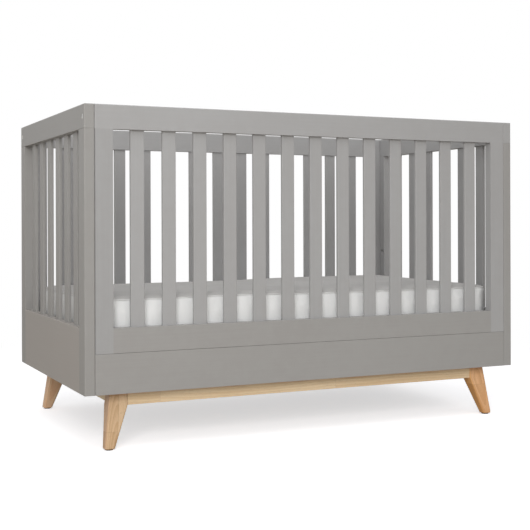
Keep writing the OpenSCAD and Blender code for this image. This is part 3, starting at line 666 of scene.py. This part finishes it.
def rounded_outline(low_x, low_y, high_x, high_y, radius, steps=8):
    """Points round a rectangle with round corners, anticlockwise: a quarter circle at each corner, and
    two points at the thirds of each straight side."""
    turn = np.linspace(0, math.pi / 2, steps + 1)
    corners = [(high_x, high_y), (low_x, high_y), (low_x, low_y), (high_x, low_y)]
    arcs = []
    for quarter, (x, y) in enumerate(corners):
        centre_x = x + (radius if x == low_x else -radius)
        centre_y = y + (radius if y == low_y else -radius)
        angle = turn + quarter * math.pi / 2
        arc = [centre_x + radius * np.cos(angle), centre_y + radius * np.sin(angle)]
        arcs.append(np.stack(arc, -1))
    outline = []
    for arc, following in zip(arcs, arcs[1:] + arcs[:1]):
        outline += [arc, arc[-1] + (following[0] - arc[-1]) * np.array([[1 / 3], [2 / 3]])]
    return np.concatenate(outline)


def leg_rings(node):
    """The leg's rings from its top down, each a height, a rectangle and a corner radius.

    Rectangles and radii run in straight lines between the top, the stretchers' underside and the foot.
    A chamfer eases the top's edge, and under the foot the rings follow a quarter circle inwards."""
    low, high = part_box(node)
    top_z, middle_z, foot_z = high.z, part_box("front_stretcher")[0].z, low.z + FOOT_ROUND
    top, middle, foot = (level_of(node, z) for z in (top_z, middle_z, foot_z))
    stops = [(top_z, top, LEG_CORNER), (middle_z, middle, LEG_CORNER), (foot_z, foot, FOOT_CORNER)]
    rings = []
    for (z0, box0, radius0), (z1, box1, radius1) in zip(stops, stops[1:]):
        for share in np.linspace(0, 1, RINGS_PER_STRETCH, endpoint=False):
            z, radius = z0 + (z1 - z0) * share, radius0 + (radius1 - radius0) * share
            rings.append((z, (1 - share) * box0 + share * box1, radius))
    rings[:1] = [
        (top_z, top + INWARDS * TOP_CHAMFER, LEG_CORNER - TOP_CHAMFER),
        (top_z - TOP_CHAMFER, top, LEG_CORNER)]
    for turn in np.linspace(0, math.pi / 2, RINGS_UNDER_FOOT):
        inset = FOOT_ROUND * (1 - math.cos(turn))
        z = foot_z - FOOT_ROUND * math.sin(turn)
        rings.append((z, foot + INWARDS * inset, FOOT_CORNER - inset))
    return rings


def splayed_leg(name, node, material, lean):
    """A leg lofted through its rings, with a flat cap at either end. Its grain runs plumb where `lean`
    is 0, and along the leg's own slope where it is 1."""
    rings = leg_rings(node)
    outlines = np.array([rounded_outline(*box, radius) for z, box, radius in rings])
    heights = np.array([z for z, box, radius in rings])
    centres = np.array([(box[:2] + box[2:]) / 2 for z, box, radius in rings])
    count, around = outlines.shape[:2]
    level = np.broadcast_to(heights[:, None, None], (count, around, 1))
    points = np.concatenate([outlines, level], -1).reshape(-1, 3)
    faces = [quad[::-1] for quad in tube_faces(count, around)]
    faces.append(list(range(around)))
    faces.append(list(range(len(points) - around, len(points)))[::-1])
    piece = mesh_piece(name, points, faces, material)
    middle_line = centres[0] + (centres - centres[0]) * lean
    drop = heights[0] - level
    keep_vectors(piece, "grain", np.concatenate([outlines - middle_line[:, None, :], drop], -1))
    piece.modifiers.new("crisp", "WEIGHTED_NORMAL").keep_sharp = True
    return piece


def make_legs():
    """Smooth legs in place of the CAD legs. The front ones have painted shade, amber, just below the front
    board.
    """
    for corner, looks in LEG_LOOKS.items():
        looks = dict(looks)
        tint, lean = looks.pop("tint"), looks.pop("lean")
        light, dark = tinted(LEG_LIGHT, tint), tinted(LEG_DARK, tint)
        # The front legs get painted shade just below the front board
        under = BOARD_UNDERSIDE if corner.startswith("front") else None
        name = "lacquered_beech_leg_" + corner
        beech = lacquered_beech(name, "leg", light, dark, under=under, **looks)
        leg = splayed_leg("turned_out_leg_" + corner, corner + "_leg", beech, lean)
        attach(leg, "frame")
        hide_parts(corner + "_leg")


make_legs()


# ---------------------------------------------------------------- mattress

# The visible cord is thin, with its middle just inside the cover's edge
CORD_RADIUS, CORD_INSIDE = 1.2 * MM, 0.2 * MM
CORD_SPACING, CORD_SIDES = 8 * MM, 12

# The flat cover's rounds in section and in plan, and the size of its grid
COVER_EDGE, COVER_CORNER, COVER_CELL = 10 * MM, 58 * MM, 10 * MM

# How far the flat cover lies inside the reach of the CAD's thick cord, and below the CAD's top
COVER_INSIDE, COVER_BELOW_TOP = 6 * MM, 1 * MM

# How near a point of the cover lies to a seam, or to the underside, where it is pinned
SEAM_WIDTH, SEAM_REACH, FLAT_BASE = 0.3 * MM, 0.35 * COVER_CORNER, 0.5 * MM

# How many frames the cover swells for, and how far: at each point, over the CAD's top, and in the end
# short of the CAD cord's reach
SWELL_FRAMES, SWELL_LIMIT, SWELL_OVER_TOP, SWELL_SIDE_GAP = 20, 6 * MM, 4 * MM, 0.5 * MM

# The cloth of the cover. A shrink below 0 lets it grow, by 1%.
COVER_CLOTH = {
    "quality": 5,
    "mass": 0.25,
    "tension_stiffness": 25,
    "compression_stiffness": 12,
    "shear_stiffness": 8,
    "bending_stiffness": 0.6,
    "use_pressure": True,
    "uniform_pressure_force": 3.0,
    "shrink_min": -0.010,
}
TINY = 1e-9


def gridded_block(half, low_z, high_z, cell):
    """Points and faces of a closed square block: its wall is a grid that runs round it, and each cap is
    a grid that shares the wall's last row."""
    half_x, half_y = half
    lengths = (2 * half_x, 2 * half_y, high_z - low_z)
    nx, ny, nz = (max(2, round(length / cell)) for length in lengths)
    xs, ys = np.linspace(-half_x, half_x, nx + 1), np.linspace(-half_y, half_y, ny + 1)
    zs = np.linspace(low_z, high_z, nz + 1)
    rim = np.concatenate([
        np.stack([xs[:-1], np.full(nx, -half_y)], -1),
        np.stack([np.full(ny, half_x), ys[:-1]], -1),
        np.stack([xs[:0:-1], np.full(nx, half_y)], -1),
        np.stack([np.full(ny, -half_x), ys[:0:-1]], -1)])
    rows = np.broadcast_to(rim, (nz + 1, *rim.shape))
    levels = np.broadcast_to(zs[:, None, None], (nz + 1, len(rim), 1))
    wall = np.concatenate([rows, levels], -1).reshape(-1, 3)
    inner = np.stack(np.meshgrid(xs[1:-1], ys[1:-1], indexing="ij"), -1).reshape(-1, 2)
    caps = [np.concatenate([inner, np.full((len(inner), 1), z)], -1) for z in (high_z, low_z)]

    faces = tube_faces(nz + 1, len(rim))
    numbers = np.zeros((nx + 1, ny + 1), int)
    numbers[1:-1, 1:-1] = np.arange(len(inner)).reshape(nx - 1, ny - 1)
    for cap, row in ((0, nz), (1, 0)):
        grid = numbers + len(wall) + cap * len(inner)
        first = row * len(rim)
        grid[:-1, 0] = first + np.arange(nx)
        grid[-1, :-1] = first + nx + np.arange(ny)
        grid[:0:-1, -1] = first + nx + ny + np.arange(nx)
        grid[0, :0:-1] = first + 2 * nx + ny + np.arange(ny)
        corners = [grid[:-1, :-1], grid[1:, :-1], grid[1:, 1:], grid[:-1, 1:]]
        quads = np.stack(corners, -1).reshape(-1, 4)
        faces += (quads if cap == 0 else quads[:, ::-1]).tolist()
    return np.concatenate([wall, *caps]), faces


def rounded_block(half, low_z, high_z, corner, edge, cell):
    """A closed block with round corners in plan and a small round along its top and bottom edges.

    In plan, the part of a point beyond the corner's centre is scaled by its larger part over its length,
    which carries the square corner to the circle. The same is then done in the upright plane for the
    edge."""
    points, faces = gridded_block(half, low_z, high_z, cell)
    plan, z = points[:, :2], points[:, 2]
    from_side = half - np.abs(plan)
    inset = from_side.min(1)
    beyond = np.abs(plan) - (half - corner)
    in_corner = (beyond > 0).all(1)[:, None]
    length = np.linalg.norm(beyond, axis=1)
    eased = beyond * (beyond.max(1) / np.maximum(length, TINY))[:, None]
    square = np.zeros_like(plan)
    square[np.arange(len(plan)), from_side.argmin(1)] = 1.0
    outward = np.where(in_corner, beyond / np.maximum(length, TINY)[:, None], square)
    rounded = np.where(in_corner, np.sign(plan) * (half - corner + eased), plan)
    outward = outward * np.sign(rounded)

    near_top = high_z - z < z - low_z
    out, up = edge - inset, edge - np.minimum(high_z - z, z - low_z)
    on_edge = (out > 0) & (up > 0)
    scale = np.maximum(out, up) / np.maximum(np.hypot(out, up), TINY)
    move = np.where(on_edge, out * scale - out, 0.0)
    rise = np.where(on_edge, up * scale - up, 0.0)
    rounded = rounded + outward * move[:, None]
    z = z + rise * np.where(near_top, 1.0, -1.0)
    return np.concatenate([rounded, z[:, None]], -1), faces


def piping_route(half, corner, spacing):
    """Points and outward directions round a rectangle with round corners, evenly spaced: four straight
    sides and four quarter circles in turn, and how far along the route each point lies."""
    straight_x, straight_y = 2 * (half - corner)
    arc = corner * math.pi / 2
    ends = np.cumsum([straight_y, arc, straight_x, arc, straight_y, arc, straight_x, arc])
    along = np.arange(0, ends[-1], ends[-1] / round(ends[-1] / spacing))
    stretch = np.searchsorted(ends, along, side="right")
    since = along - np.concatenate([[0], ends[:-1]])[stretch]
    quarter = stretch // 2
    straight = stretch % 2 == 0
    turn = quarter * math.pi / 2 + np.where(straight, 0.0, since / corner)
    outward = np.stack([np.cos(turn), np.sin(turn)], -1)
    forward = np.stack([-np.sin(turn), np.cos(turn)], -1)
    signs = np.array([[1, 1], [-1, 1], [-1, -1], [1, -1]])[quarter]
    round_end = signs * (half - corner) + corner * outward
    run = np.where(quarter % 2 == 0, straight_y, straight_x)
    on_side = round_end + (since - run)[:, None] * forward
    return np.where(straight[:, None], on_side, round_end), outward, along


def piping(name, half, z, corner, material):
    """A cord carried round the mattress: circles of the cord's radius along the rounded rectangle."""
    route, outward, along = piping_route(half, corner, CORD_SPACING)
    share = np.linspace(0, 1, CORD_SIDES, endpoint=False)
    turn = share * 2 * math.pi
    across = route[:, None, :] + outward[:, None, :] * (CORD_RADIUS * np.cos(turn))[None, :, None]
    height = np.broadcast_to(z + CORD_RADIUS * np.sin(turn)[None, :, None], (*across.shape[:2], 1))
    points = np.concatenate([across, height], -1).reshape(-1, 3)
    faces = [quad[::-1] for quad in tube_faces(len(route), CORD_SIDES, closed_rows=True)]
    piece = mesh_piece(name, points, faces, material)
    along, share = np.broadcast_arrays(along[:, None], share[None, :])
    keep_vectors(piece, "route", np.stack([along, share, np.zeros_like(along)], -1))
    return piece


def swell(piece, pinned, low, high):
    """Cloth with air inside, held where `pinned` says. No point moves more than the limit, or leaves the
    box from low to high."""
    start = points_of(piece.data)
    held = piece.vertex_groups.new(name="held")
    held.add(np.flatnonzero(pinned).tolist(), 1.0, "REPLACE")
    cloth = piece.modifiers.new("cover", "CLOTH")
    for key, value in COVER_CLOTH.items():
        setattr(cloth.settings, key, value)
    cloth.settings.vertex_group_mass = held.name
    cloth.settings.effector_weights.gravity = 0.0
    cloth.collision_settings.use_collision = False
    cloth.point_cache.frame_start, cloth.point_cache.frame_end = 1, SWELL_FRAMES
    scene = bpy.context.scene
    for number in range(1, SWELL_FRAMES + 1):
        scene.frame_set(number)
    swollen = piece.evaluated_get(bpy.context.evaluated_depsgraph_get())
    move = points_of(swollen.to_mesh()) - start
    piece.modifiers.remove(cloth)
    scene.frame_set(1)
    far = np.linalg.norm(move, axis=1, keepdims=True)
    move = move * np.minimum(1.0, SWELL_LIMIT / np.maximum(far, TINY))
    move_points(piece.data, np.clip(start + move, low, high))


def lie(piece, low_z, top):
    """Lays a piece of the mattress a little off level.

    The front edge rises 3 mm in a bell curve left of the middle, and the back edge turns from 3 mm low
    to 4 mm high along a smooth step. Both fade to nothing across the mattress, and from the top down to
    the underside."""
    front_rise, front_x, front_width = 3 * MM, -0.25, 0.15
    back_low, back_high, turn_x, turn_length = -3 * MM, 4 * MM, -0.08, 0.38
    front_y, depth = -0.35, 0.70
    points = points_of(piece.data)
    x, y, z = points.T
    front = front_rise * np.exp(-(((x - front_x) / front_width) ** 2))
    step = np.clip((x - turn_x) / turn_length, 0, 1)
    back = back_low + (back_high - back_low) * step * step * (3 - 2 * step)
    across = np.clip((y - front_y) / depth, 0, 1)
    up = np.clip((z - low_z) / (top - low_z), 0, 1)
    points[:, 2] += ((1 - across) ** 2 * front + across**2 * back) * up
    move_points(piece.data, points)


def make_mattress():
    """Foam mattress: its cover is blown up a little between the two piped seams and the flat underside."""
    low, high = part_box("mattress")
    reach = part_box("mattress_piping")[1]
    half = np.array([reach.x, reach.y]) - COVER_INSIDE
    top = high.z - COVER_BELOW_TOP
    points, faces = rounded_block(half, low.z, top, COVER_CORNER, COVER_EDGE, COVER_CELL)
    piece = mesh_piece("soft_mattress", points, faces, mattress_ticking("mattress_ticking"))

    seam_tuck = COVER_EDGE * (1 - math.sqrt(0.5))
    inset = (half - np.abs(points[:, :2])).min(1)
    to_face = np.minimum(top - points[:, 2], points[:, 2] - low.z)
    at_seam = (np.abs(to_face - seam_tuck) < SEAM_WIDTH) & (inset < SEAM_REACH)
    room_x, room_y = reach.x - SWELL_SIDE_GAP, reach.y - SWELL_SIDE_GAP
    lowest = np.array([-room_x, -room_y, low.z])
    highest = np.array([room_x, room_y, high.z + SWELL_OVER_TOP])
    swell(piece, at_seam | (points[:, 2] < low.z + FLAT_BASE), lowest, highest)
    lie(piece, low.z, top)
    smooth = piece.modifiers.new("smooth", "SUBSURF")
    smooth.levels = smooth.render_levels = 1
    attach(piece, "mattress")
    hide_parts("mattress")

    cloth = piping_cloth("piping_cloth")
    tuck = seam_tuck + CORD_INSIDE
    for label, z in (("lower", low.z + tuck), ("upper", top - tuck)):
        rope = piping("piping_" + label, half - tuck, z, COVER_CORNER - tuck, cloth)
        lie(rope, low.z, top)
        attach(rope, "mattress")
        if label == "upper":
            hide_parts("mattress_piping")


make_mattress()


# ---------------------------------------------------------------- floor, light and camera

FLOOR_REACH, FLOOR_FADE_START, FLOOR_FADE_END = 30.0, 1.1, 2.2
LIFT_STRENGTH, PLAIN_STRENGTH = 0.563, 1.0
WORLD_STRENGTH, LESS_BEHIND, LESS_BESIDE = 0.705, 0.45, 0.30
CAMERA_PLACE = (-1.4256, -3.0318, 0.6055)
CAMERA_TURN, CAMERA_ROLL = math.radians(24.69), math.radians(-0.170)
LENS, SENSOR_WIDTH, LENS_SHIFT_X, LENS_SHIFT_Y = 70.48, 36.0, 0.0228, -0.0790


def pale_floor():
    """White floor that keeps the crib's shadow. For the camera it is lifted to plain white, and it
    turns into an even white away from the crib."""
    material = bpy.data.materials.new("pale_floor")
    material.use_nodes = True
    t = Tree(material.node_tree)
    t.tree.nodes.clear()
    spot = t.put("ShaderNodeTexCoord").outputs["Object"]
    seen = t.put("ShaderNodeLightPath").outputs["Is Camera Ray"]
    bounce = t.put("ShaderNodeBsdfDiffuse", {"Color": FLOOR_BOUNCE}).outputs[0]
    shade = t.put("ShaderNodeBsdfDiffuse", {"Color": FLOOR_SHADE}).outputs[0]
    lift = t.put("ShaderNodeEmission", {"Color": FLOOR_LIFT, "Strength": LIFT_STRENGTH}).outputs[0]
    near = t.put("ShaderNodeAddShader", {0: shade, 1: lift}).outputs[0]
    white = t.put("ShaderNodeEmission", {"Color": WHITE, "Strength": PLAIN_STRENGTH}).outputs[0]
    away = t.put("ShaderNodeVectorMath", {0: spot}, operation="LENGTH").outputs["Value"]
    fade = t.ramp(away, start=FLOOR_FADE_START, full=FLOOR_FADE_END)
    shown = t.put("ShaderNodeMixShader", {0: fade, 1: near, 2: white}).outputs[0]
    surface = t.put("ShaderNodeMixShader", {0: seen, 1: bounce, 2: shown}).outputs[0]
    t.put("ShaderNodeOutputMaterial", {"Surface": surface})
    points = np.array([[-1, -1, 0], [1, -1, 0], [1, 1, 0], [-1, 1, 0]]) * FLOOR_REACH
    floor = mesh_piece("floor", points, [[0, 1, 2, 3]], material, smooth=False)


def studio_world():
    """Light from all round, smoothly down to about half behind the crib and 70% at its sides. The camera,
    gloss and glass see plain white."""
    world = bpy.data.worlds.new("studio")
    world.use_nodes = True
    bpy.context.scene.world = world
    t = Tree(world.node_tree)
    t.tree.nodes.clear()
    path = t.put("ShaderNodeLightPath").outputs
    shown = t.math("MAXIMUM", path["Is Glossy Ray"], path["Is Transmission Ray"])
    shown = t.math("MAXIMUM", path["Is Camera Ray"], shown)
    towards = t.split(t.put("ShaderNodeTexCoord").outputs["Generated"])
    behind = t.ramp(t.weighted((towards["X"], 0.2), (towards["Y"], 0.9)), start=0.0, full=0.5)
    beside = t.ramp(t.math("ABSOLUTE", towards["X"]), start=0.3, full=1.0)
    level = t.times(t.minus(1.0, t.times(behind, LESS_BEHIND)), WORLD_STRENGTH)
    level = t.times(t.minus(1.0, t.times(beside, LESS_BESIDE)), level)
    light = t.put("ShaderNodeBackground", {"Color": WHITE, "Strength": level}).outputs[0]
    plain = t.put("ShaderNodeBackground", {"Color": WHITE, "Strength": PLAIN_STRENGTH}).outputs[0]
    surface = t.put("ShaderNodeMixShader", {0: shown, 1: light, 2: plain}).outputs[0]
    t.put("ShaderNodeOutputWorld", {"Surface": surface})


def soft_box(name, place, target, width, height, power):
    """A lamp with a rectangle of light that looks from its place to its target."""
    lamp = bpy.data.lights.new(name, "AREA")
    lamp.shape, lamp.size, lamp.size_y, lamp.energy = "RECTANGLE", width, height, power
    body = bpy.data.objects.new(name, lamp)
    body.location = place
    body.rotation_euler = (Vector(target) - Vector(place)).to_track_quat("-Z", "Y").to_euler()
    bpy.context.scene.collection.objects.link(body)


def camera():
    """Level camera in front of the crib and to its left, aimed at its middle. Its lens is shifted down
    instead of tilted."""
    ahead = Vector((math.sin(CAMERA_TURN), math.cos(CAMERA_TURN), 0))
    right = Vector((math.cos(CAMERA_TURN), -math.sin(CAMERA_TURN), 0))
    up = Vector((0, 0, 1))
    rolled_right = right * math.cos(CAMERA_ROLL) + up * math.sin(CAMERA_ROLL)
    rolled_up = -right * math.sin(CAMERA_ROLL) + up * math.cos(CAMERA_ROLL)
    turned = Matrix((rolled_right, rolled_up, -ahead)).transposed().to_4x4()
    data = bpy.data.cameras.new("camera")
    data.lens, data.sensor_width = LENS, SENSOR_WIDTH
    data.shift_x, data.shift_y = LENS_SHIFT_X, LENS_SHIFT_Y
    body = bpy.data.objects.new("camera", data)
    body.matrix_world = Matrix.Translation(CAMERA_PLACE) @ turned
    bpy.context.scene.collection.objects.link(body)
    bpy.context.scene.camera = body


pale_floor()
studio_world()
soft_box("key", place=(-2.3, -4.0, 2.0), target=(0.1, -0.2, 0.4), width=1.8, height=1.6, power=78)
soft_box("overhead", place=(-0.9, -1.2, 2.8), target=(0.0, 0.0, 0.3), width=1.6, height=1.2, power=10)
camera()
bpy.context.scene.view_settings.view_transform = "Standard"
